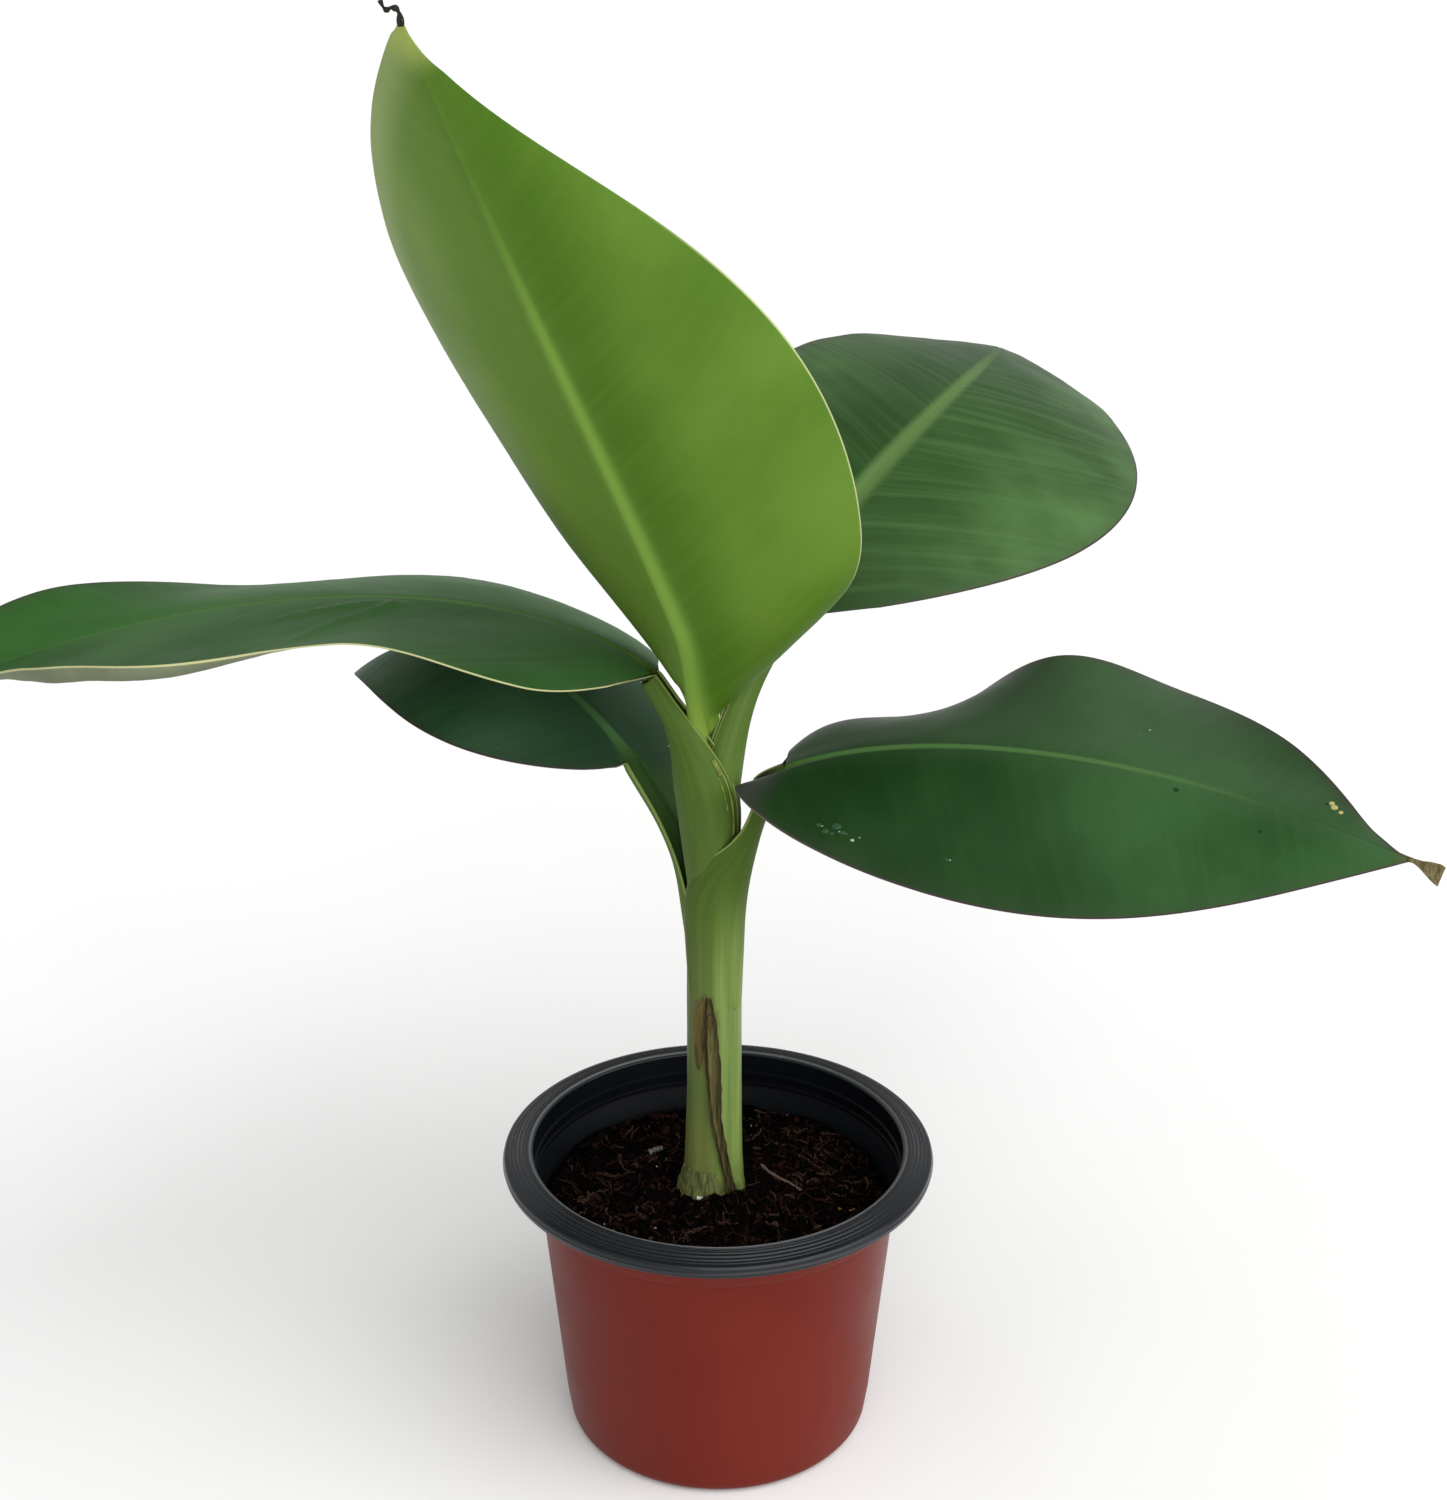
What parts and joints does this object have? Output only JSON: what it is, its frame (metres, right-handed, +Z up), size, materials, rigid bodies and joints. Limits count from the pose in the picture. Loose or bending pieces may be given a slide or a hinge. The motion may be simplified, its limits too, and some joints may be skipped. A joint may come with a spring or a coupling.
{
  "type": "potted banana sapling",
  "caption": "Young banana plant with a sheathed pseudostem and broad arching leaves, rooted in potting mix in a round tapered nursery pot with a turned-down rim.",
  "frame": {"origin": "centre of the pot's flat underside", "axes": "+Z up along the pot's axis, -Y towards the front, +X to the right as seen from the front"},
  "size_m": [0.4484, 0.3565, 0.4506],
  "materials": {
    "pot_plastic": "satin terracotta red body with a black rim and black inside",
    "potting_mix": "damp dark crumbs with coir fibres",
    "stem": "smooth yellow-green sheaths with fine lengthwise lines",
    "young_leaf": "matte light green underside",
    "mature_leaf": "glossy dark green upper side with a pale midrib"
  },
  "bodies": {
    "root": {"pot": "pot_plastic", "potting_mix": "potting_mix", "pseudostem": "stem", "leaf_upright": "young_leaf", "leaf_back_right": "mature_leaf", "leaf_left": "mature_leaf", "leaf_right": "mature_leaf", "leaf_back_left": "mature_leaf"}
  },
  "joints": []
}
